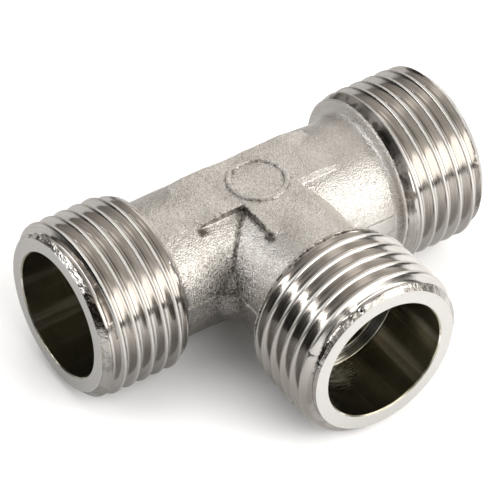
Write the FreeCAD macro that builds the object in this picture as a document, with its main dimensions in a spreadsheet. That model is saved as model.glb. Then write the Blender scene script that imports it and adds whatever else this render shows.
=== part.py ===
import FreeCAD, Part

import math
import os

import Sketcher

# Equal pipe tee with three G 1/2 male threads: one hot-forged, machined and plated brass body.
# Frame: origin where the run and branch axes meet, run along X, branch towards -Y, +Z up.
# All lengths are in millimetres.

DIMENSIONS = {
    "run_half": 26.0,          # centre to each run end face
    "branch_length": 26.0,     # centre to the branch end face
    "barrel_radius": 8.25,     # forged barrel between the threaded ends
    "barrel_end": 14.2,        # where the barrel starts to flare into the collar
    "collar_back": 15.4,       # where the collar reaches the thread's outside radius
    "chamfer_start": 24.7225,  # 45 degree lead chamfer, down to the end face
    "face_radius": 9.2,        # outside edge of the flat end face
    "flare_round": 0.7,        # concave round between barrel and collar
    "collar_round": 0.35,      # convex round on the back edge of the collar
    "pad_half_width": 3.75,    # T-shaped flat, level with the crown of the barrels
    "pad_reach": 9.3,          # centre to the end of each arm of the T
    "pad_round": 0.3,
    "crotch_round": 1.6,       # round in the inside corners of run and branch
    "band_height": 2.3,        # trimmed parting line around the sides
    "band_edge": 8.37,         # axis to the face of the band
    "roundel_offset": 1.2,     # plain raised ring on the pad, set towards the branch
    "roundel_outer": 3.65,
    "roundel_inner": 3.0,
    "roundel_top": 8.55,
    "mouth_radius": 7.5,       # machined mouth of each bore
    "mouth_floor": 17.5,       # centre to the inner end of the mouth
    "core_radius": 6.25,       # waterway between the mouths
    "core_start": 16.8,        # centre to where the conical step reaches the core
    "major_radius": 10.4775,   # G 1/2 crest
    "pitch": 1.814,            # 14 threads to the inch
    "thread_depth": 1.162,
    "crest_flat": 0.0298,      # half of the flat left on a rounded crest
    "crest_round": 0.2,
    "root_round": 0.2491,
    "thread_length": 14.5,     # long enough to run out behind the collar
    "left_start": 26.91,       # centre of the tee to the first groove, off the end of the part
    "right_start": 27.90,
    "branch_start": 26.78,
}

HALF_FLANK = math.radians(27.5)  # half of the 55 degree thread angle

doc = FreeCAD.newDocument("PipeTee")
sheet = doc.addObject("Spreadsheet::Sheet", "Dimensions")
for row, (alias, number) in enumerate(DIMENSIONS.items(), start=1):
    sheet.set("A" + str(row), alias)
    sheet.set("B" + str(row), str(number))
    sheet.setAlias("B" + str(row), alias)
doc.recompute()

body = doc.addObject("PartDesign::Body", "TeeBody")
body.Label = "tee_body"


def value(name):
    return DIMENSIONS[name]


def origin_feature(role):
    return [item for item in body.Origin.OriginFeatures if item.Role == role][0]


def bind(feature, attribute, name, factor=""):
    """Drive one property from the spreadsheet."""
    feature.setExpression(attribute, factor + "Dimensions." + name)


def new_sketch(name, role):
    """Sketch on one of the body's origin planes."""
    sketch = body.newObject("Sketcher::SketchObject", name)
    sketch.AttachmentSupport = (origin_feature(role), [""])
    sketch.MapMode = "FlatFace"
    doc.recompute()
    return sketch


def signed(pair):
    """The size a (sign, dimension) pair stands for; None stands for zero."""
    return pair[0] * value(pair[1]) if pair else 0.0


def pin(sketch, geometry, end, label, kind, pair):
    """Tie one coordinate of a sketch point to the origin by a (sign, dimension) pair."""
    sketch.addConstraint(Sketcher.Constraint(kind, -1, 1, geometry, end, signed(pair)))
    if pair:
        sketch.renameConstraint(sketch.ConstraintCount - 1, label)
        bind(sketch, "Constraints." + label, pair[1], "-" if pair[0] < 0 else "")


def outline(name, role, corners):
    """Closed straight-sided sketch whose corners all read the spreadsheet."""
    sketch = new_sketch(name, role)
    points = [FreeCAD.Vector(signed(across), signed(along), 0) for across, along in corners]
    count = len(points)
    for index in range(count):
        line = Part.LineSegment(points[index], points[(index + 1) % count])
        sketch.addGeometry(line, False)
    for index in range(count):
        following = (index + 1) % count
        sketch.addConstraint(Sketcher.Constraint("Coincident", index, 2, following, 1))
    for index, (across, along) in enumerate(corners):
        pin(sketch, index, 1, "across" + str(index), "DistanceX", across)
        pin(sketch, index, 1, "along" + str(index), "DistanceY", along)
    doc.recompute()
    return sketch


def revolve(kind, name, sketch, axis):
    """Full turn of a half profile: Revolution adds it, Groove cuts it."""
    feature = body.newObject("PartDesign::" + kind, name)
    feature.Profile = sketch
    feature.ReferenceAxis = (origin_feature(axis), [""])
    feature.Angle = 360
    doc.recompute()
    return feature


def pad(name, sketch, length_name, factor="", both_ways=False):
    feature = body.newObject("PartDesign::Pad", name)
    feature.Profile = sketch
    feature.Midplane = both_ways
    bind(feature, "Length", length_name, factor)
    doc.recompute()
    return feature


def round_edges(name, base, test, radius_name):
    """Fillet on every edge of the base feature that passes the test."""
    names = []
    for index, edge in enumerate(base.Shape.Edges, start=1):
        middle = edge.valueAt((edge.FirstParameter + edge.LastParameter) / 2)
        if test(edge, middle):
            names.append("Edge" + str(index))
    fillet = body.newObject("PartDesign::Fillet", name)
    fillet.Base = (base, names)
    bind(fillet, "Radius", radius_name)
    doc.recompute()
    return fillet


# Both barrels with their collars, thread blanks and lead chamfers.
def half_end(side, length_name):
    """Corners of one end as (along the axis, radius), from the barrel out to the end face."""
    return [
        ((side, "barrel_end"), (1, "barrel_radius")),
        ((side, "collar_back"), (1, "major_radius")),
        ((side, "chamfer_start"), (1, "major_radius")),
        ((side, length_name), (1, "face_radius")),
        ((side, length_name), None),
    ]


run_corners = half_end(-1, "run_half")[::-1] + half_end(1, "run_half")
revolve("Revolution", "RunBlank", outline("RunProfile", "XZ_Plane", run_corners), "X_Axis")

branch_corners = [(None, None), ((1, "barrel_radius"), None)]
for along, radius in half_end(-1, "branch_length"):
    branch_corners.append((radius, along))
branch_profile = outline("BranchProfile", "XY_Plane", branch_corners)
blank = revolve("Revolution", "BranchBlank", branch_profile, "Y_Axis")


def is_ring(radius_name, station_name):
    """Test for a full circle of one radius at one distance from the centre of the tee."""
    def test(edge, middle):
        if edge.Curve.TypeId != "Part::GeomCircle":
            return False
        same_radius = abs(edge.Curve.Radius - value(radius_name)) < 0.01
        return same_radius and abs(edge.Curve.Center.Length - value(station_name)) < 0.01
    return test


flare = round_edges("FlareRounds", blank, is_ring("barrel_radius", "barrel_end"), "flare_round")
collar = round_edges("CollarRounds", flare, is_ring("major_radius", "collar_back"), "collar_round")


# T-shaped flats above and below, one from each forging die.
def tee_outline(name, half_width, reach):
    """Plan of a T: the run arms along X, the branch arm towards -Y."""
    corners = [
        ((-1, reach), (1, half_width)),
        ((-1, reach), (-1, half_width)),
        ((-1, half_width), (-1, half_width)),
        ((-1, half_width), (-1, reach)),
        ((1, half_width), (-1, reach)),
        ((1, half_width), (-1, half_width)),
        ((1, reach), (-1, half_width)),
        ((1, reach), (1, half_width)),
    ]
    return outline(name, "XY_Plane", corners)


pad_outline = tee_outline("PadOutline", "pad_half_width", "pad_reach")
pads = pad("TeePads", pad_outline, "barrel_radius", "2 * ", both_ways=True)


def is_crease(edge, middle):
    """The curved inside corner between the run barrel and the branch barrel."""
    return abs(abs(middle.x) + middle.y) < 0.01 and middle.y < -1 and abs(middle.z) < 6


def is_pad_side(edge, middle):
    """Upper and lower edges along the arms of the T, not across their ends."""
    if edge.Curve.TypeId != "Part::GeomLine" or edge.Length < 5:
        return False
    return abs(abs(middle.z) - value("barrel_radius")) < 0.01 and abs(middle.x) < 9


crotch = round_edges("CrotchRounds", pads, is_crease, "crotch_round")
round_edges("PadRounds", crotch, is_pad_side, "pad_round")

# Trimmed parting line: a slightly proud flat band around the sides at mid height.
band_outline = tee_outline("BandOutline", "band_edge", "barrel_end")
pad("PartingBand", band_outline, "band_height", both_ways=True)

# Plain raised ring on the upper flat.
ring_sketch = new_sketch("RoundelOutline", "XY_Plane")
for index, radius_name in enumerate(("roundel_outer", "roundel_inner")):
    centre = FreeCAD.Vector(0, -value("roundel_offset"), 0)
    circle = Part.Circle(centre, FreeCAD.Vector(0, 0, 1), value(radius_name))
    ring_sketch.addGeometry(circle, False)
    pin(ring_sketch, index, 3, "across" + str(index), "DistanceX", None)
    pin(ring_sketch, index, 3, "along" + str(index), "DistanceY", (-1, "roundel_offset"))
    ring_sketch.addConstraint(Sketcher.Constraint("Radius", index, value(radius_name)))
    ring_sketch.renameConstraint(ring_sketch.ConstraintCount - 1, radius_name)
    bind(ring_sketch, "Constraints." + radius_name, radius_name)
doc.recompute()
pad("Roundel", ring_sketch, "roundel_top")

# Waterways: cored run and branch, each end opening through a cone into a wider mouth.
run_bore_corners = [
    ((-1, "run_half"), None),
    ((-1, "run_half"), (1, "mouth_radius")),
    ((-1, "mouth_floor"), (1, "mouth_radius")),
    ((-1, "core_start"), (1, "core_radius")),
    ((1, "core_start"), (1, "core_radius")),
    ((1, "mouth_floor"), (1, "mouth_radius")),
    ((1, "run_half"), (1, "mouth_radius")),
    ((1, "run_half"), None),
]
run_bore_profile = outline("RunBoreProfile", "XZ_Plane", run_bore_corners)
revolve("Groove", "RunBore", run_bore_profile, "X_Axis")

branch_bore_corners = [
    (None, None),
    ((1, "core_radius"), None),
    ((1, "core_radius"), (-1, "core_start")),
    ((1, "mouth_radius"), (-1, "mouth_floor")),
    ((1, "mouth_radius"), (-1, "branch_length")),
    (None, (-1, "branch_length")),
]
branch_bore_profile = outline("BranchBoreProfile", "XY_Plane", branch_bore_corners)
revolve("Groove", "BranchBore", branch_bore_profile, "Y_Axis")


# Threads: one rounded 55 degree groove swept along a right-hand helix on each end.
def draw_groove(sketch, centre):
    """Groove section at one place along the axis: crest rounds, straight flanks, round root."""
    major = value("major_radius")
    crest = value("crest_round")
    root = value("root_round")
    edge = value("pitch") / 2 - value("crest_flat")
    outside = major + 0.3
    bend = (math.radians(90) - HALF_FLANK) / 2

    # One side of the groove as (distance from its centre line, radius).
    lid = (edge, outside)
    lip = (edge, major)
    lip_middle = (edge - crest * math.sin(bend), major - crest * (1 - math.cos(bend)))
    flank_top = (
        edge - crest * math.cos(HALF_FLANK),
        major - crest * (1 - math.sin(HALF_FLANK)),
    )
    root_centre = major - value("thread_depth") + root
    flank_foot = (root * math.cos(HALF_FLANK), root_centre - root * math.sin(HALF_FLANK))
    bottom = (0, root_centre - root)

    def place(point, side):
        return FreeCAD.Vector(centre + side * point[0], point[1], 0)

    pieces = [
        Part.LineSegment(place(lid, -1), place(lid, 1)),
        Part.Arc(place(flank_foot, 1), place(bottom, 1), place(flank_foot, -1)),
    ]
    for side in (-1, 1):
        pieces.append(Part.LineSegment(place(lid, side), place(lip, side)))
        pieces.append(Part.Arc(place(lip, side), place(lip_middle, side), place(flank_top, side)))
        pieces.append(Part.LineSegment(place(flank_top, side), place(flank_foot, side)))
    for index, piece in enumerate(pieces):
        sketch.addGeometry(piece, False)
        sketch.addConstraint(Sketcher.Constraint("Block", index))
    doc.recompute()


THREADED_ENDS = (
    ("Left", "XZ_Plane", "X_Axis", -1),
    ("Right", "XZ_Plane", "X_Axis", 1),
    ("Branch", "YZ_Plane", "Y_Axis", -1),
)
for end_name, plane, axis, side in THREADED_ENDS:
    section = new_sketch(end_name + "GrooveSection", plane)
    draw_groove(section, side * value(end_name.lower() + "_start"))
    thread = body.newObject("PartDesign::SubtractiveHelix", end_name + "Thread")
    thread.Profile = section
    thread.ReferenceAxis = (origin_feature(axis), [""])
    thread.Mode = "pitch-height-angle"
    bind(thread, "Pitch", "pitch")
    bind(thread, "Height", "thread_length")
    thread.Angle = 0
    thread.Reversed = side > 0
    doc.recompute()

# Every feature has to be sound before the part is written.
for item in doc.Objects:
    if "Invalid" in item.State or "Error" in item.State:
        raise SystemExit("feature failed: " + item.Name)
shape = body.Shape
if shape.isNull() or not shape.isValid() or len(shape.Solids) != 1:
    raise SystemExit("the tee body is not one valid solid")

os.makedirs("parts", exist_ok=True)
shape.exportStep("parts/" + body.Label + ".step")
print(body.Label, round(shape.Volume, 1), "mm3,", len(shape.Faces), "faces")
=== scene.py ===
import math

import bmesh
import bpy
import numpy as np
from mathutils import Matrix, Vector


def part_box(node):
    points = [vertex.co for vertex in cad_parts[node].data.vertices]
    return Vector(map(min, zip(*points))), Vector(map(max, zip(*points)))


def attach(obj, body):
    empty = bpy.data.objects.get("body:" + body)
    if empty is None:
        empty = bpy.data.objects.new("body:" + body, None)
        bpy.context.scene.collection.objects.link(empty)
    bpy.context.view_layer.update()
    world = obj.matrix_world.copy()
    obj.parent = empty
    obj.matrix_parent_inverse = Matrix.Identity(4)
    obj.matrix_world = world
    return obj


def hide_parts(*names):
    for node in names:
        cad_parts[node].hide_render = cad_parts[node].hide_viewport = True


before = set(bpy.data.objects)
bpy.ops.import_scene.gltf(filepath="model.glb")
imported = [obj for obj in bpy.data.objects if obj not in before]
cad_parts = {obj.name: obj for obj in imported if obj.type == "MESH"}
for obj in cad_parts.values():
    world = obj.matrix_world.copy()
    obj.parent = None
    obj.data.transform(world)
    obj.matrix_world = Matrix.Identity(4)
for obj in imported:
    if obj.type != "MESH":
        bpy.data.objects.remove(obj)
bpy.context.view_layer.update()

# Visual model of the pipe tee. The mesh code works in millimetres in the shared frame:
# origin where the axes meet, run along X, branch towards -Y, +Z up.
MM = 0.001

# turned ends: lengths run along each arm from the centre of the tee
RUN_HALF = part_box("tee_body")[1].x / MM
MAJOR_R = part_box("tee_body")[1].z / MM
PITCH = 1.814
THREAD_DEPTH = 1.162
HALF_FLANK = math.radians(27.5)
CREST_ROUND = 0.20
CHAMFER_START = 24.72
FACE_R = 9.2
SHOULDER_START = 14.95
SHOULDER_R = 9.75
SHOULDER_SLOPE = math.tan(math.radians(30))
NECK_SLOPE = 3.5            # how fast the turned end narrows inside the forged collar
END_START = 14.8            # inner end of the turned end, inside the collar
RUN_OUT_LENGTH = 1.2        # over which the thread gets shallow
BLANK_ROUND = 0.03          # blends the thread into the shoulder and the chamfer

# bores
MOUTH_R = 7.5
CORE_R = 6.25
BORE_END = 26.6             # past the end face, so that the mouth is open
# (along, radius) of each mouth: rounded step from the core, plain mouth, broken edge
MOUTH = [(16.7, CORE_R), (16.82, 6.34), (17.0, 6.72), (17.06, 6.9), (17.3, 7.3), (17.38, 7.46),
         (17.6, MOUTH_R), (25.86, MOUTH_R), (26.0, MOUTH_R + 0.14), (BORE_END, MOUTH_R + 0.74)]

# forged body
BARREL_R = 8.25
COLLAR_R = 9.9
LEFT_COLLAR_R = 9.62
COLLAR_MIDDLE = 15.2
COLLAR_HALF = 0.55
COLLAR_ROUND = 0.3
COLLAR_SHIFT = (0.08, 0.15, 0.10)   # the forged collars lie a little off the turned axis
COLLAR_CUT = 15.0           # where the forging is faced off
FLARE_ROUND = 0.9
CROTCH_ROUND = 2.0          # inside corner of run and branch below mid height
CREASE_ROUND = 0.15         # the same corner above it
CREASE_DEPTH = 0.14
PAD_HALF = 3.75             # T-shaped flats
PAD_REACH = 9.3
PAD_CORNER = 0.5
PAD_EDGE_ROUND = 0.16
PAD_DIP = 0.3               # the arms slope down by this much over their last part
PAD_DIP_LENGTH = 2.6
BAND_HALF = 1.15            # trimmed parting line
BAND_EDGE = 8.37
BAND_REACH = 14.6
BAND_ROUND = 0.08
RING_CENTRE_Y = -1.2        # plain raised ring
RING_R = 3.325
RING_HALF = 0.325
RING_MIDDLE_Z = 8.0
RING_HEIGHT_HALF = 0.58
RING_ROUND = 0.12

# mesh density
NET_STEP = 0.16
AROUND = 360
PER_PITCH = 26
BORE_AROUND = 180

# colours
# dark colour for both grime and painted shade
GRIME_AND_SHADE = (0.10, 0.085, 0.07, 1)
SATIN_DARK = (0.84, 0.81, 0.775, 1)
SATIN_LIGHT = (0.93, 0.905, 0.875, 1)
BRIGHT_DARK = (0.60, 0.57, 0.54, 1)
BRIGHT_LIGHT = (0.70, 0.68, 0.655, 1)
RUBBED = (0.86, 0.845, 0.82, 1)
SCUFFED_DARK = (0.60, 0.585, 0.565, 1)
SCUFFED_LIGHT = (0.80, 0.79, 0.77, 1)
OLIVE_DARK = (0.36, 0.335, 0.24, 1)
OLIVE_LIGHT = (0.54, 0.51, 0.42, 1)
FLOW_STREAK = (0.90, 0.87, 0.82, 1)
# lighter colour of a painted highlight in the branch bore
BORE_HIGHLIGHT = (1.0, 0.97, 0.88, 1)
# black painted on the bore's step and waterway as deep shade
DEEP_SHADE_BLACK = (0, 0, 0, 1)
FLOOR_WHITE = (0.98, 0.98, 0.985, 1)
FLOOR_FRONT = (0.76, 0.76, 0.76, 1)
# floor in reflections behind and to the left, darkened as painted shade
FLOOR_SHADED_BEHIND = (0.48, 0.48, 0.48, 1)

# spots in millimetres: the centre of painted shade, a dark patch and a painted highlight
CROTCH_SPOT = (-8.2, -8.2, 2.0)      # deepest point of the left inside corner, centre of the painted shade there
DARK_PATCH_SPOT = (-25.3, -7.4, 6.4)    # centre of a dark patch on the left chamfer
BORE_HIGHLIGHT_SPOT = (-1.5, -18.5, -7.2)      # low in the branch mouth, by the step, centre of a painted highlight
HOLLOW_REACH = 9.0                   # how far a surface has to be hemmed in to get painted shade


# ---------------------------------------------------------------- distance fields
def soft_union(a, b, radius):
    """Union of two distance fields with a round of the given radius in the inside corner."""
    near_a = np.maximum(radius - a, 0)
    near_b = np.maximum(radius - b, 0)
    return np.maximum(radius, np.minimum(a, b)) - np.hypot(near_a, near_b)


def soft_cut(a, b, radius):
    """Intersection of two distance fields with a round on the outside corner."""
    return -soft_union(-a, -b, radius)


def ease(value, low, high):
    """Smooth step from 0 at low to 1 at high."""
    t = np.clip((value - low) / (high - low), 0, 1)
    return t * t * (3 - 2 * t)


def plate(u, v, half_u, half_v, radius):
    """Distance to a rounded rectangle in plan."""
    du = np.abs(u) - half_u + radius
    dv = np.abs(v) - half_v + radius
    outside = np.hypot(np.maximum(du, 0), np.maximum(dv, 0))
    return outside + np.minimum(np.maximum(du, dv), 0) - radius


def forged_collars(body, x, y, z):
    """Add the three collars to a distance field and face them off."""
    dx, dy, dz = COLLAR_SHIFT
    from_run = np.hypot(y - dy, z - dz)
    from_branch = np.hypot(x - dx, z - dz)
    for disc, along in ((from_run - COLLAR_R, x), (from_run - LEFT_COLLAR_R, -x),
                        (from_branch - COLLAR_R, -y)):
        collar = soft_cut(disc, np.abs(along - COLLAR_MIDDLE) - COLLAR_HALF, COLLAR_ROUND)
        body = soft_union(body, collar, FLARE_ROUND)
    return np.maximum(body, np.maximum(np.abs(x), -y) - COLLAR_CUT)


def forged_flats(x, y, z):
    """Distance to the T-shaped flats above and below."""
    reach = np.maximum(np.abs(x), -y)
    run_arm = plate(x, y, PAD_REACH, PAD_HALF, PAD_CORNER)
    branch_arm = plate(x, y + PAD_REACH / 2, PAD_HALF, PAD_REACH / 2, PAD_CORNER)
    level = BARREL_R + 0.01 - PAD_DIP * ease(reach, PAD_REACH - PAD_DIP_LENGTH, PAD_REACH)
    return soft_cut(soft_union(run_arm, branch_arm, 0.1), np.abs(z) - level, PAD_EDGE_ROUND)


def forged_band(x, y, z):
    """Distance to the trimmed parting line around the sides."""
    run_band = plate(x, y, BAND_REACH, BAND_EDGE, 0.1)
    branch_band = plate(x, y + BAND_REACH / 2, BAND_EDGE, BAND_REACH / 2, 0.1)
    outline = soft_union(run_band, branch_band, CROTCH_ROUND)
    return soft_cut(outline, np.abs(z) - BAND_HALF, BAND_ROUND)


def raised_ring(x, y, z):
    """Distance to the plain ring on the upper flat."""
    ring = np.abs(np.hypot(x, y - RING_CENTRE_Y) - RING_R) - RING_HALF
    return soft_cut(ring, np.abs(z - RING_MIDDLE_Z) - RING_HEIGHT_HALF, RING_ROUND)


def forging(p):
    """Distance to the forged body before it is bored."""
    x, y, z = p[..., 0], p[..., 1], p[..., 2]
    run = np.hypot(y, z) - BARREL_R
    branch = np.maximum(np.hypot(x, z) - BARREL_R, y)
    # the inside corner is a tight crease above and opens to a full round below mid height
    narrow = np.clip(1 - (z / BARREL_R) ** 2, 0.0, 1.0)
    corner = CREASE_ROUND + (CROTCH_ROUND - CREASE_ROUND) * ease(-z, -4.5, 1.0)
    body = soft_union(run, branch, 0.02 + corner * narrow)
    body += CREASE_DEPTH * np.exp(-(run ** 2 + branch ** 2) / 0.05) * ease(z, 1.5, 5.0)
    body = forged_collars(body, x, y, z)
    body = soft_union(body, forged_flats(x, y, z), 0.1)
    body = soft_union(body, forged_band(x, y, z), BAND_ROUND)
    return soft_union(body, raised_ring(x, y, z), 0.05)


# ---------------------------------------------------------------- meshes
def surface_net(field, low, high, step):
    """Quads on the zero surface of a distance field, one vertex in each crossed cell."""
    axes = [np.arange(low[k], high[k] + step, step) for k in range(3)]
    values = field(np.stack(np.meshgrid(*axes, indexing="ij"), axis=-1))
    inside = values < 0
    shape = [n - 1 for n in inside.shape]
    corners = [(i, j, k) for i in (0, 1) for j in (0, 1) for k in (0, 1)]
    count = np.zeros(shape, np.int8)
    for i, j, k in corners:
        count += inside[i:i + shape[0], j:j + shape[1], k:k + shape[2]]
    cells = np.argwhere((count > 0) & (count < 8))
    number = np.full(shape, -1, np.int64)
    number[tuple(cells.T)] = np.arange(len(cells))

    # each vertex is the mean of the points where its cell's edges cross the surface
    total = np.zeros((len(cells), 3))
    hits = np.zeros(len(cells))
    for a in corners:
        for b in corners:
            if sum(b) - sum(a) != 1 or any(b[k] < a[k] for k in range(3)):
                continue
            value_a = values[tuple((cells + a).T)]
            value_b = values[tuple((cells + b).T)]
            cross = (value_a < 0) != (value_b < 0)
            t = np.where(cross, value_a / np.where(cross, value_a - value_b, 1), 0)
            total += (np.array(a) + t[:, None] * (np.array(b) - np.array(a))) * cross[:, None]
            hits += cross
    verts = np.array(low) + (cells + total / hits[:, None]) * step

    # each crossed grid edge is shared by four cells, which make one quad
    quads = []
    for k in range(3):
        u, v = (k + 1) % 3, (k + 2) % 3
        here = [slice(None)] * 3
        there = [slice(None)] * 3
        here[k] = slice(0, -1)
        there[k] = slice(1, None)
        edges = np.argwhere(inside[tuple(here)] != inside[tuple(there)])
        leaving = inside[tuple(edges.T)]
        ring = []
        for du, dv in ((-1, -1), (0, -1), (0, 0), (-1, 0)):
            cell = edges.copy()
            cell[:, u] += du
            cell[:, v] += dv
            ring.append(number[tuple(cell.T)])
        ring = np.stack(ring, axis=1)
        ring[~leaving] = ring[~leaving][:, ::-1]
        quads.append(ring)
    return verts, np.concatenate(quads)


def slope_of(field, verts, nudge=0.01):
    """Slope of a distance field at each point."""
    slope = np.zeros_like(verts)
    for k in range(3):
        shift = np.zeros(3)
        shift[k] = nudge
        slope[:, k] = (field(verts + shift) - field(verts - shift)) / (2 * nudge)
    return slope


def settle(field, verts):
    """Move points along the slope of the field onto its zero surface."""
    for _ in range(3):
        slope = slope_of(field, verts)
        size = np.maximum((slope ** 2).sum(axis=1), 0.25)
        verts = verts - slope * (field(verts) / size)[:, None]
    return verts


def waves(verts, wavelength, count, seed):
    """Smooth repeatable unevenness of about one unit, from waves in random directions."""
    pick = np.random.default_rng(seed)
    total = np.zeros(len(verts))
    for _ in range(count):
        direction = pick.normal(size=3)
        direction /= np.linalg.norm(direction)
        length = wavelength * pick.uniform(0.7, 1.5)
        total += np.sin(verts @ direction * (2 * math.pi / length) + pick.uniform(0, 6.283))
    return total / math.sqrt(count / 2)


def thread_radius(s):
    """Radius of a 55 degree thread, tight crest and open root, at distance s from a crest."""
    s = np.abs((s + PITCH / 2) % PITCH - PITCH / 2)
    t = PITCH / 2 - s
    # crest and root rounds together take up what the sharp V is higher than the thread
    spare = PITCH / 2 / math.tan(HALF_FLANK) - THREAD_DEPTH
    root_round = spare / (1 / math.sin(HALF_FLANK) - 1) - CREST_ROUND
    crest_centre = MAJOR_R - CREST_ROUND
    root_centre = MAJOR_R - THREAD_DEPTH + root_round
    crest = crest_centre + np.sqrt(np.maximum(CREST_ROUND ** 2 - s ** 2, 0))
    root = root_centre - np.sqrt(np.maximum(root_round ** 2 - t ** 2, 0))
    crest_reach = CREST_ROUND * math.cos(HALF_FLANK)
    root_reach = root_round * math.cos(HALF_FLANK)
    flank_top = crest_centre + CREST_ROUND * math.sin(HALF_FLANK)
    flank = flank_top - (s - crest_reach) / math.tan(HALF_FLANK)
    return np.where(s < crest_reach, crest, np.where(t < root_reach, root, flank))


def blank_radius(along):
    """Radius of the turned blank: neck inside the collar, shoulder cone, lead chamfer."""
    past = along - SHOULDER_START
    shoulder = SHOULDER_R + np.where(past > 0, SHOULDER_SLOPE, NECK_SLOPE) * past
    return np.minimum(shoulder, MAJOR_R - (along - CHAMFER_START))


def soft_min(a, b, width):
    """Smaller of two lengths, blended where they are closer than width."""
    h = np.clip(0.5 + 0.5 * (b - a) / width, 0, 1)
    return b * (1 - h) + a * h - width * h * (1 - h)


def thread_rows(phase):
    """Places of the rows of vertices from the crest at phase, closer on crest and root."""
    t = np.arange(PER_PITCH) / PER_PITCH
    stations = (t - 0.055 * np.sin(4 * np.pi * t)) * PITCH
    first = math.floor((END_START - phase) / PITCH) - 1
    last = math.ceil((RUN_HALF - phase) / PITCH) + 1
    return np.concatenate([stations + n * PITCH for n in range(first, last)])


def end_radius(along, turn, from_crest, run_out, nicks):
    """Radius of a threaded end; nicks are (angle, place, depth, size)."""
    full = ease(along, run_out - RUN_OUT_LENGTH, run_out)
    cut = full * (MAJOR_R - thread_radius(from_crest))
    radius = soft_min(MAJOR_R - cut, blank_radius(along), BLANK_ROUND)
    for angle, place, depth, size in nicks:
        across = radius * (turn - math.radians(angle))
        radius = radius - depth * np.exp(-(across ** 2 + (along - place) ** 2) / size ** 2)
    return radius


def side_faces(number, last):
    """Faces between the columns; after a full turn the helix joins up one pitch further on."""
    joined = np.concatenate([number[0][PER_PITCH:], np.full(PER_PITCH, last)])
    columns = list(number) + [joined]
    faces = []
    for one, two in zip(columns[:-1], columns[1:]):
        for quad in np.stack([one[:-1], two[:-1], two[1:], one[1:]], axis=1).tolist():
            corners = list(dict.fromkeys(quad))
            if len(corners) > 2:
                faces.append(corners)
    return faces


def cap_faces(inner_ring, outer_ring, count):
    """Fans that close both ends, around the last two of the count vertices."""
    faces = []
    for i in range(AROUND):
        following = (i + 1) % AROUND
        faces.append([int(inner_ring[i]), count - 2, int(inner_ring[following])])
        faces.append([int(outer_ring[i]), int(outer_ring[following]), count - 1])
    return faces


def threaded_end(phase, run_out, nicks):
    """Closed mesh of one threaded end about +Z, with rows of vertices that follow the helix."""
    rows = thread_rows(phase)
    phi = np.arange(AROUND) * 2 * math.pi / AROUND
    circle = np.stack([np.cos(phi), np.sin(phi)], axis=1)
    lead = PITCH * phi[:, None] / (2 * math.pi)
    wanted = phase + rows[None, :] + lead
    along = np.clip(wanted, END_START, RUN_HALF)
    radius = end_radius(along, phi[:, None], along - phase - lead, run_out, nicks)
    side = np.stack([radius * circle[:, :1], radius * circle[:, 1:], along], axis=-1)

    # points beyond either end fall together onto one ring there
    number = np.arange(AROUND * len(rows)).reshape(AROUND, len(rows))
    inner_ring = AROUND * len(rows) + np.arange(AROUND)
    outer_ring = inner_ring + AROUND
    number = np.where(wanted < END_START, inner_ring[:, None], number)
    number = np.where(wanted > RUN_HALF, outer_ring[:, None], number)
    neck = circle * blank_radius(END_START)
    inner = np.column_stack([neck, np.full(AROUND, END_START)])
    outer = np.column_stack([circle * FACE_R, np.full(AROUND, RUN_HALF)])
    centres = [[0, 0, END_START], [0, 0, RUN_HALF]]
    verts = np.concatenate([side.reshape(-1, 3), inner, outer, centres])
    caps = cap_faces(inner_ring, outer_ring, len(verts))
    return verts, side_faces(number, outer_ring[0]) + caps


def lathe(profile, around=BORE_AROUND):
    """Closed turned solid about +Z from (along, radius) points, with a point at each end."""
    phi = np.arange(around) * 2 * math.pi / around
    verts = [[0, 0, profile[0][0]]]
    for along, radius in profile:
        for angle in phi:
            verts.append([radius * math.cos(angle), radius * math.sin(angle), along])
    verts.append([0, 0, profile[-1][0]])
    faces = []
    for i in range(around):
        j = (i + 1) % around
        faces.append([0, 1 + j, 1 + i])
        for row in range(len(profile) - 1):
            low, high = 1 + row * around, 1 + (row + 1) * around
            faces.append([low + i, low + j, high + j, high + i])
        top = 1 + (len(profile) - 1) * around
        faces.append([top + i, top + j, len(verts) - 1])
    return np.array(verts), faces


def add_mesh(name, verts, faces, material, axes=None):
    """Object from millimetre points; axes are the frame directions of the mesh's own X, Y, Z."""
    verts = np.asarray(verts, float)
    if axes is not None:
        verts = verts @ np.array(axes, float)
    mesh = bpy.data.meshes.new(name)
    mesh.from_pydata(verts * MM, [], faces)
    mesh.materials.append(material)
    tidy = bmesh.new()
    tidy.from_mesh(mesh)
    loose = [v for v in tidy.verts if not v.link_faces]
    bmesh.ops.delete(tidy, geom=loose, context="VERTS")
    tidy.to_mesh(mesh)
    tidy.free()
    obj = bpy.data.objects.new(name, mesh)
    bpy.context.scene.collection.objects.link(obj)
    return obj


def combine(base, tool, operation):
    """Boolean of two closed meshes, applied, keeping each mesh's material."""
    for material in tool.data.materials:
        if material.name not in base.data.materials:
            base.data.materials.append(material)
    step = base.modifiers.new("combine", "BOOLEAN")
    step.operation = operation
    step.object = tool
    step.solver = "MANIFOLD"
    step.material_mode = "TRANSFER"
    graph = bpy.context.evaluated_depsgraph_get()
    result = bpy.data.meshes.new_from_object(base.evaluated_get(graph))
    base.modifiers.clear()
    base.data = result
    bpy.data.objects.remove(tool)
    return base


def drop_slivers(mesh, fewest=100):
    """Delete the flat two-sided scraps that a boolean can leave apart from the body."""
    work = bmesh.new()
    work.from_mesh(mesh)
    unseen = set(work.faces)
    scraps = []
    while unseen:
        island = {unseen.pop()}
        edge = set(island)
        while edge:
            edge = {other for face in edge for side in face.edges
                    for other in side.link_faces} - island
            island |= edge
        unseen -= island
        if len(island) < fewest:
            scraps.extend(island)
    bmesh.ops.delete(work, geom=scraps, context="FACES")
    work.to_mesh(mesh)
    work.free()


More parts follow.
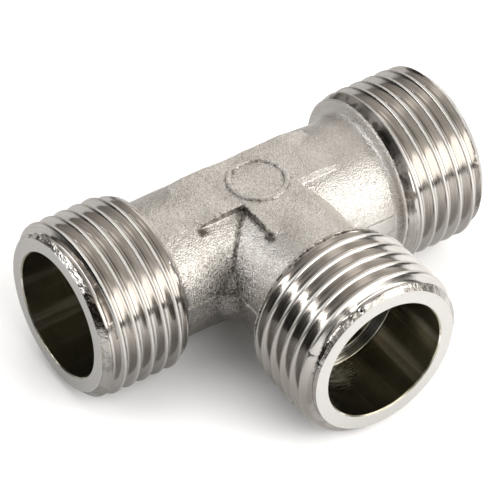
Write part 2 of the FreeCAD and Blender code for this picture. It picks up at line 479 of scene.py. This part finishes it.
# ---------------------------------------------------------------- materials
class Nodes:
    """Short calls for building one node tree. Lengths in sockets are metres."""

    def __init__(self, tree, coordinates):
        self.tree = tree
        self.point = tree.nodes.new("ShaderNodeTexCoord").outputs[coordinates]

    def node(self, kind, inputs=None, **settings):
        node = self.tree.nodes.new("ShaderNode" + kind)
        for key, setting in settings.items():
            setattr(node, key, setting)
        for key, source in (inputs or {}).items():
            self.feed(node.inputs[key], source)
        return node

    def feed(self, socket, source):
        if isinstance(source, bpy.types.NodeSocket):
            self.tree.links.new(source, socket)
        else:
            socket.default_value = source

    def math(self, operation, a, b=0.0):
        return self.node("Math", {0: a, 1: b}, operation=operation).outputs[0]

    def chain(self, operation, values):
        """One operation worked through several values."""
        result = values[0]
        for further in values[1:]:
            result = self.math(operation, result, further)
        return result

    def times(self, *values):
        return self.chain("MULTIPLY", values)

    def plus(self, *values):
        return self.chain("ADD", values)

    def most(self, *values):
        return self.chain("MAXIMUM", values)

    def rest(self, value):
        """What is left of 1."""
        return self.math("SUBTRACT", 1.0, value)

    def place(self):
        """The x, y and z of the shaded point."""
        return self.node("SeparateXYZ", {0: self.point}).outputs

    def away_from(self, spot):
        """Distance from a spot given in millimetres."""
        metres = tuple(part * MM for part in spot)
        return self.node("VectorMath", {0: self.point, 1: metres},
                         operation="DISTANCE").outputs["Value"]

    def combine(self, **parts):
        return self.node("CombineXYZ", parts).outputs[0]

    def noise(self, scale, detail, rough, point=None):
        """Noise from 0 to 1; scale is in features to the metre."""
        inputs = {"Vector": point or self.point, "Scale": scale, "Detail": detail}
        inputs["Roughness"] = rough
        return self.node("TexNoise", inputs).outputs["Fac"]

    def spread(self, factor, low, high, out_low, out_high):
        """Map one range smoothly onto another."""
        inputs = {"Value": factor, 1: low, 2: high, 3: out_low, 4: out_high}
        return self.node("MapRange", inputs, interpolation_type="SMOOTHSTEP").outputs[0]

    def ramp(self, length, low, high, out_low, out_high):
        """Map a range of lengths, given in millimetres, smoothly onto another range."""
        return self.spread(length, low * MM, high * MM, out_low, out_high)

    def mix(self, factor, a, b):
        return self.node("Mix", {0: factor, 2: a, 3: b}).outputs[0]

    def blend(self, factor, a, b):
        """Mix of two colours."""
        return self.node("Mix", {0: factor, 6: a, 7: b}, data_type="RGBA").outputs[2]


class Shader(Nodes):
    """Node material around one principled surface."""

    def __init__(self, name):
        self.material = bpy.data.materials.new(name)
        self.material.use_nodes = True
        super().__init__(self.material.node_tree, "Object")
        self.surface = self.tree.nodes["Principled BSDF"]

    def bump(self, height, strength, distance, normal=None):
        inputs = {"Height": height, "Strength": strength, "Distance": distance}
        if normal:
            inputs["Normal"] = normal
        return self.node("Bump", inputs).outputs[0]

    def soil_and_shade(self, colour, *amounts):
        """Colour darkened by each amount, grime and painted shade alike."""
        for amount in amounts:
            colour = self.blend(amount, colour, GRIME_AND_SHADE)
        return colour

    def metal(self, colour, rough, normal):
        for key, source in (("Base Color", colour), ("Metallic", 1.0),
                            ("Roughness", rough), ("Normal", normal)):
            self.feed(self.surface.inputs[key], source)
        return self.material

    def axis_parts(self):
        """Distance along, distance from and angle around the axis of the arm the point is on."""
        x, y, z = self.place()
        on_branch = self.math("LESS_THAN", y, -12.5 * MM)
        along = self.mix(on_branch, self.math("ABSOLUTE", x), self.math("ABSOLUTE", y))
        side = self.mix(on_branch, y, x)
        away = self.math("SQRT", self.plus(self.times(side, side), self.times(z, z)))
        return along, away, self.math("ARCTAN2", side, z)


def forged_grime_and_shade(s, from_crotch, crotch):
    """Amounts of darkening on the forging: grain and dots, and painted shade in the hollows,
    towards the right, low on the left side, along the lines and round the left inside corner.
    """
    x, _, z = s.place()
    open_air = s.node("AmbientOcclusion", {"Distance": HOLLOW_REACH * MM},
                      only_local=True, samples=6).outputs["AO"]
    grainy = s.ramp(x, 2.0, 10.0, 1.0, 0.4)
    mottle = s.spread(s.noise(1500.0, 3.0, 0.7), 0.3, 0.6, 0.15, 0.0)
    pits = s.spread(s.noise(6500.0, 2.0, 0.65), 0.38, 0.52, 0.44, 0.0)
    # painted shade in the hollows, weaker towards the right
    hollow_shade = s.times(s.spread(open_air, 0.33, 0.70, 1.0, 0.0), s.ramp(x, -1.0, 5.0, 1.0, 0.25))
    specks = s.spread(s.noise(3300.0, 2.0, 0.6), 0.43, 0.53, 1.7, 0.05)
    dots = s.spread(s.noise(3300.0, 1.0, 0.5), 0.38, 0.45, 0.62, 0.0)
    return (
        s.times(mottle, grainy),
        s.times(pits, grainy),
        s.times(hollow_shade, specks),
        # painted shade that tones down the right side
        s.ramp(x, 3.0, 10.0, 0.0, 0.12),
        # painted shade low on the left side
        s.times(s.ramp(z, -1.2, 4.8, 0.55, 0.0), s.ramp(x, 0.0, 4.0, 1.0, 0.0)),
        painted_shade_lines(s),
        # painted shade round the left inside corner
        s.ramp(from_crotch, 0.8, 3.4, 0.5, 0.0),
        s.times(crotch, dots),
    )


def forged_nickel():
    """Satin plated forging: pitted grain, patchy sheen, painted shade in the hollows and the left
    inside corner.
    """
    s = Shader("forged_nickel")
    from_crotch = s.away_from(CROTCH_SPOT)
    crotch = s.ramp(from_crotch, 2.6, 5.2, 1.0, 0.0)
    patches = s.noise(260.0, 3.0, 0.55)
    colour = s.blend(s.spread(patches, 0.35, 0.65, 0.0, 1.0), SATIN_DARK, SATIN_LIGHT)
    colour = s.soil_and_shade(colour, *forged_grime_and_shade(s, from_crotch, crotch))
    pebbles = s.node("TexVoronoi", {"Vector": s.point, "Scale": 6000.0, "Randomness": 1.0},
                     feature="SMOOTH_F1").outputs["Distance"]
    normal = s.bump(s.noise(2600.0, 2.0, 0.5), 0.22, 0.1 * MM)
    normal = s.bump(pebbles, s.plus(0.5, s.times(crotch, 0.5)), 0.16 * MM, normal)
    normal = s.bump(s.noise(9000.0, 2.0, 0.6), 0.6, 0.06 * MM, normal)
    return s.metal(colour, s.spread(patches, 0.3, 0.7, 0.28, 0.38), normal)


def painted_shade_lines(s):
    """Painted shade in the left crease, along the walls of the flat beside it and round the foot
    of the ring, with dark blots at the ends of those walls.
    """
    x, y, z = s.place()
    ragged = s.times(s.math("SUBTRACT", s.noise(2200.0, 3.0, 0.7), 0.5), 1.1 * MM)

    def line(offset, half_width):
        """1 on the line where the offset is nothing, with ragged sides."""
        distance = s.plus(s.math("ABSOLUTE", offset), ragged)
        return s.ramp(distance, half_width * 0.4, half_width * 1.4, 1.0, 0.0)

    def within(value, low, high):
        """1 between low and high, with soft ends 0.4 mm long."""
        return s.times(s.ramp(value, low - 0.4, low, 0.0, 1.0),
                       s.ramp(value, high, high + 0.4, 1.0, 0.0))

    crease = s.times(line(s.math("SUBTRACT", x, y), 0.28), within(x, -8.3, -4.2),
                     within(z, 2.8, 7.6))
    side_wall = s.times(line(s.plus(x, PAD_HALF * MM), 0.20), within(y, -9.1, -3.9),
                        s.ramp(z, 6.9, 7.2, 0.0, 1.0))
    front_wall = s.times(line(s.plus(y, PAD_HALF * MM), 0.09), within(x, -9.1, -3.9), 0.7)
    left_blot = s.times(within(x, -9.7, -8.7), line(s.plus(y, 4.1 * MM), 0.45))
    branch_blot = s.times(within(y, -9.7, -8.5), line(s.plus(x, 3.8 * MM), 0.45))
    from_ring = s.math("SUBTRACT", s.away_from((0, RING_CENTRE_Y, BARREL_R)), RING_R * MM)
    ring_foot = s.math("SUBTRACT", s.math("ABSOLUTE", from_ring), 0.4 * MM)
    ring_line = s.times(line(ring_foot, 0.08), s.ramp(z, 7.9, 8.1, 0.0, 0.45))
    total = s.most(crease, ring_line, side_wall, front_wall, left_blot, branch_blot)
    broken = s.spread(s.noise(1300.0, 2.0, 0.6), 0.35, 0.6, 0.35, 0.95)
    return s.times(total, s.ramp(z, 0.0, 1.0, 0.0, 1.0), broken)


def thread_darkening(s):
    """Amounts of darkening on the turned ends: painted shade low down and on the left of the
    branch, and a mottled darker band on the right shoulder, stronger on top.
    """
    x, _, z = s.place()
    low_side = s.ramp(z, -1.5, 3.5, 0.42, 0.0)
    branch_side = s.times(s.ramp(x, -10.0, -7.0, 0.5, 0.0), s.ramp(x, -13.0, -12.0, 0.0, 1.0))
    right_shoulder = s.times(
        s.ramp(x, 15.5, 16.2, 1.0, 0.0),
        s.spread(s.noise(800.0, 3.0, 0.6), 0.42, 0.56, 0.85, 0.25),
        s.ramp(x, 12.0, 13.0, 0.0, 1.0),
        s.ramp(z, 1.0, 5.0, 0.3, 1.0),
    )
    return low_side, branch_side, right_shoulder


def chamfer_darkening(s, chamfer):
    """Amounts of darkening on the lead chamfers: smudges, and a dark patch on the left one."""
    smudge = s.spread(s.noise(500.0, 3.0, 0.6), 0.46, 0.54, 0.0, 0.35)
    ragged = s.times(s.noise(900.0, 3.0, 0.6), 3.0 * MM)
    dark_patch = s.ramp(s.plus(s.away_from(DARK_PATCH_SPOT), ragged), 3.4, 4.2, 0.95, 0.0)
    return s.times(chamfer, smudge), s.times(chamfer, dark_patch)


def turned_nickel():
    """Bright plated threads: tool lines, rubbed crests, dented chamfers, matt end faces."""
    s = Shader("turned_nickel")
    along, away, angle = s.axis_parts()
    turned = s.combine(X=along, Y=away, Z=s.times(angle, 0.2 * MM))
    streaks = s.noise(3800.0, 3.0, 0.6, turned)
    ragged = s.plus(away, s.times(s.noise(2500.0, 3.0, 0.7), 0.08 * MM))
    rubbed = s.ramp(ragged, MAJOR_R - 0.08, MAJOR_R + 0.01, 0.0, 1.0)
    face = s.ramp(along, RUN_HALF - 0.04, RUN_HALF - 0.01, 0.0, 1.0)
    off_face = s.rest(face)
    chamfer = s.times(off_face, s.ramp(along, CHAMFER_START + 0.2, CHAMFER_START + 0.4, 0.0, 1.0))

    colour = s.blend(s.spread(streaks, 0.35, 0.65, 0.0, 1.0), BRIGHT_DARK, BRIGHT_LIGHT)
    # painted shade low on the ends and on the left of the branch, and a darker band on the right
    # shoulder
    colour = s.soil_and_shade(s.blend(rubbed, colour, RUBBED), *thread_darkening(s))
    scuffed = s.blend(s.noise(3000.0, 3.0, 0.7), SCUFFED_DARK, SCUFFED_LIGHT)
    # smudges and a dark patch on the chamfers
    colour = s.soil_and_shade(s.blend(face, colour, scuffed), *chamfer_darkening(s, chamfer))
    lines = s.noise(15000.0, 2.0, 0.6, turned)
    normal = s.bump(lines, s.times(off_face, 0.12), 0.02 * MM)
    normal = s.bump(s.noise(420.0, 3.0, 0.6), 0.15, 0.06 * MM, normal)
    normal = s.bump(s.noise(600.0, 4.0, 0.7), s.times(chamfer, 0.7), 0.3 * MM, normal)
    rough = s.plus(s.spread(streaks, 0.3, 0.7, 0.11, 0.19), s.times(rubbed, 0.3),
                   s.times(face, 0.25))
    return s.metal(colour, rough, normal)


def bored_nickel():
    """Dull thinly plated bore: olive film, light streaks along the flow, feed marks, painted
    shade deep inside and a painted highlight low in the branch mouth.
    """
    s = Shader("bored_nickel")
    along, away, angle = s.axis_parts()
    feed = s.noise(6000.0, 3.0, 0.7, s.combine(X=along, Y=away, Z=s.times(angle, 0.6 * MM)))
    flow_point = s.combine(X=s.times(along, 25.0), Y=s.times(angle, 3.4))
    flow = s.spread(s.noise(1.0, 3.0, 0.55, flow_point), 0.50, 0.66, 0.0, 1.0)
    film = s.blend(s.spread(feed, 0.35, 0.65, 0.0, 1.0), OLIVE_DARK, OLIVE_LIGHT)
    # the step and the waterway behind it are painted black as deep shade, apart from a few rings
    # of the film
    rings = s.spread(s.noise(3000.0, 1.0, 0.5, s.combine(X=away)), 0.54, 0.60, 0.05, 0.7)
    plated = s.most(s.ramp(away, MOUTH_R - 0.12, MOUTH_R - 0.03, 0.0, 1.0), rings)
    colour = s.blend(plated, DEEP_SHADE_BLACK, s.blend(flow, film, FLOW_STREAK))
    # painted highlight: a lighter, rougher patch low in the branch mouth
    painted_highlight = s.times(s.ramp(s.away_from(BORE_HIGHLIGHT_SPOT), 1.0, 3.5, 1.0, 0.0),
                   s.spread(feed, 0.45, 0.6, 0.2, 1.0))
    rough = s.plus(0.22, s.times(painted_highlight, 0.35))
    return s.metal(s.blend(painted_highlight, colour, BORE_HIGHLIGHT), rough, s.bump(feed, 0.5, 0.04 * MM))


def pale_floor():
    """Matt white floor; in reflections it is duller, with painted shade that darkens it behind
    and to the left.
    """
    s = Shader("pale_floor")
    x, y, _ = s.place()
    # painted shade on the floor in reflections, darker behind and to the left
    behind = s.ramp(s.math("SUBTRACT", y, x), -20.0, 30.0, 0.0, 1.0)
    mirrored = s.blend(behind, FLOOR_FRONT, FLOOR_SHADED_BEHIND)
    seen = s.node("LightPath").outputs["Is Camera Ray"]
    white = s.blend(seen, mirrored, FLOOR_WHITE)
    matt = s.node("BsdfDiffuse", {"Color": white}).outputs[0]
    s.feed(s.tree.nodes["Material Output"].inputs["Surface"], matt)
    return s.material


# ---------------------------------------------------------------- the tee
FORGED = forged_nickel()
TURNED = turned_nickel()
BORED = bored_nickel()

# each end: name, frame directions of its own X, Y, Z, where a crest passes its top,
# where the thread reaches full depth, and nicks as (angle, place, depth, size)
LEFT_AXES = ((0, 0, 1), (0, 1, 0), (-1, 0, 0))
RIGHT_AXES = ((0, 0, 1), (0, -1, 0), (1, 0, 0))
BRANCH_AXES = ((0, 0, 1), (-1, 0, 0), (0, -1, 0))
LEFT_NICKS = ((20, 25.5, 0.25, 0.5), (34, 25.2, 0.2, 0.6), (52, 24.9, 0.15, 0.5))
BRANCH_NICKS = ((22, 25.5, 0.45, 0.4), (29, 25.3, 0.2, 0.5), (62, 24.6, 0.15, 0.3))
ENDS = (
    ("left", LEFT_AXES, 24.10, 15.6, LEFT_NICKS),
    ("right", RIGHT_AXES, 23.38, 16.8, ()),
    ("branch", BRANCH_AXES, 24.0635, 15.6, BRANCH_NICKS),
)


def forged_body():
    """Mesh object of the forging, its surface slightly uneven except at the faced collars."""
    low = (-15.7, -15.7, -10.9)
    high = (15.7, 10.9, 10.9)
    verts, faces = surface_net(forging, low, high, NET_STEP)
    verts = settle(forging, verts)
    slope = slope_of(forging, verts)
    slope /= np.linalg.norm(slope, axis=1)[:, None]
    uneven = 0.035 * waves(verts, 6.0, 24, 3) + 0.008 * waves(verts, 1.1, 60, 5)
    reach = np.maximum(np.abs(verts[:, 0]), -verts[:, 1])
    uneven *= np.clip((COLLAR_CUT - reach) / 0.8, 0, 1)
    return add_mesh("pipe_tee", verts + slope * uneven[:, None], faces.tolist(), FORGED)


tee = forged_body()
for name, axes, phase, run_out, nicks in ENDS:
    end_verts, end_faces = threaded_end(phase, run_out, nicks)
    combine(tee, add_mesh(name, end_verts, end_faces, TURNED, axes), "UNION")

run_bore = [(-along, radius) for along, radius in reversed(MOUTH)] + MOUTH
branch_bore = [(0.0, CORE_R)] + MOUTH
for name, profile, axes in (("run", run_bore, RIGHT_AXES), ("branch", branch_bore, BRANCH_AXES)):
    bore_verts, bore_faces = lathe(profile)
    combine(tee, add_mesh(name + "_bore", bore_verts, bore_faces, BORED, axes), "DIFFERENCE")
drop_slivers(tee.data)
tee.data.shade_smooth()
tee.data.set_sharp_from_angle(angle=math.radians(30))
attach(tee, "root")
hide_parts("tee_body")


# ---------------------------------------------------------------- floor, light, camera
FLOOR_Z = -MAJOR_R - 0.01
FLOOR_R = 160
FLOOR_SIDES = 96
PANEL_DISTANCE = 0.4


def round_floor():
    """Flat disc just under the tee."""
    verts = [(0, 0, FLOOR_Z)]
    for step in range(FLOOR_SIDES):
        angle = step * 2 * math.pi / FLOOR_SIDES
        verts.append((FLOOR_R * math.cos(angle), FLOOR_R * math.sin(angle), FLOOR_Z))
    faces = [[0, 1 + step, 1 + (step + 1) % FLOOR_SIDES] for step in range(FLOOR_SIDES)]
    return add_mesh("floor", verts, faces, pale_floor())


def add_camera(azimuth, elevation, roll, sideways, upward, back_off, lens_mm):
    """Scene camera; azimuth is measured from -Y towards +X, offsets are in millimetres."""
    a = math.radians(azimuth)
    e = math.radians(elevation)
    back = Vector((math.sin(a) * math.cos(e), -math.cos(a) * math.cos(e), math.sin(e)))
    level = Vector((math.cos(a), math.sin(a), 0))
    rise = back.cross(level)
    right = math.cos(roll) * level + math.sin(roll) * rise
    up = math.cos(roll) * rise - math.sin(roll) * level
    lens = bpy.data.cameras.new("camera")
    lens.lens = lens_mm
    lens.clip_start = 0.01
    camera = bpy.data.objects.new("camera", lens)
    spot = (sideways * right + upward * up + back_off * back) * MM
    turned = Matrix((right, up, back)).transposed().to_4x4()
    camera.matrix_world = Matrix.Translation(spot) @ turned
    bpy.context.scene.collection.objects.link(camera)
    bpy.context.scene.camera = camera


def toward(azimuth, elevation):
    """Unit direction, azimuth measured from +X towards +Y."""
    a = math.radians(azimuth)
    e = math.radians(elevation)
    return Vector((math.cos(a) * math.cos(e), math.sin(a) * math.cos(e), math.sin(e)))


def add_panel(name, azimuth, elevation, wide, high, radiance, colour=(1, 1, 1)):
    """Soft rectangular light aimed at the tee; wide and high are the angles it fills."""
    light = bpy.data.lights.new(name, "AREA")
    light.shape = "RECTANGLE"
    light.size = 2 * PANEL_DISTANCE * math.tan(math.radians(wide / 2))
    light.size_y = 2 * PANEL_DISTANCE * math.tan(math.radians(high / 2))
    light.energy = radiance * math.pi * light.size * light.size_y
    light.color = colour
    panel = bpy.data.objects.new(name, light)
    panel.location = toward(azimuth, elevation) * PANEL_DISTANCE
    panel.rotation_euler = panel.location.to_track_quat("Z", "Y").to_euler()
    bpy.context.scene.collection.objects.link(panel)
    return panel


# soft patches of the room as (azimuth, elevation, inner angle, outer angle, amount)
GLOWS = ((30, 40, 18, 55, 0.22), (-66, 30, 5, 40, 0.75), (50, 56, 4, 14, 0.75),
         (38, 18, 6, 26, 0.6), (-5, 31, 8, 22, 0.3))
SHADES = ((-157, 57, 12, 28, 0.85), (138, 12, 12, 26, 0.9), (118, 44, 4, 14, 0.6))


def studio_world():
    """Grey room: brighter towards the far right, near black low down on the left."""
    world = bpy.data.worlds.new("studio")
    bpy.context.scene.world = world
    world.use_nodes = True
    s = Nodes(world.node_tree, "Generated")

    def near(azimuth, elevation, inner, outer):
        """1 within the inner angle of a direction, falling to 0 at the outer angle."""
        dot = s.node("VectorMath", {0: s.point, 1: toward(azimuth, elevation)},
                     operation="DOT_PRODUCT").outputs["Value"]
        ends = math.cos(math.radians(outer)), math.cos(math.radians(inner))
        return s.spread(dot, *ends, 0.0, 1.0)

    def darken(value, where, amount):
        return s.times(value, s.rest(s.times(where, amount)))

    _, _, height = s.place()
    grey = s.spread(height, 0.2, 0.6, 0.33, 0.42)
    for *patch, amount in GLOWS:
        grey = s.plus(grey, s.times(near(*patch), amount))
    for *patch, amount in SHADES:
        grey = darken(grey, near(*patch), amount)
    low_down = s.spread(height, 0.40, 0.54, 1.0, 0.0)
    grey = darken(grey, s.times(low_down, near(190, 0, 34, 46)), 0.93)
    horizon = s.spread(height, 0.02, 0.07, 1.0, 0.0)
    grey = darken(grey, horizon, 0.4)
    grey = darken(grey, s.times(horizon, near(-80, 0, 50, 80)), 0.75)
    seen = s.node("LightPath").outputs["Is Camera Ray"]
    background = s.tree.nodes["Background"]
    s.feed(background.inputs["Color"], s.blend(seen, (1.0, 0.95, 0.89, 1), (1, 1, 1, 1)))
    s.feed(background.inputs["Strength"], s.mix(seen, grey, 1.0))


floor = round_floor()
add_camera(-34.82, 42.25, 0.0126, -0.109, -2.464, 419.7, 266.0)
add_panel("panel_front", -67, 22, 58, 34, 2.05, (1, 0.985, 0.945))
add_panel("panel_left", 170, 39, 70, 9, 6.0)
# two lamps light the floor only, so that its shadows stay short
only_floor = bpy.data.collections.new("only_floor")
only_floor.objects.link(floor)
for lamp in (add_panel("floor_overhead", 60, 75, 60, 60, 1.15),
             add_panel("floor_front", -73, 39, 64, 40, 3.15)):
    lamp.light_linking.receiver_collection = only_floor
studio_world()
bpy.context.scene.view_settings.view_transform = "Standard"
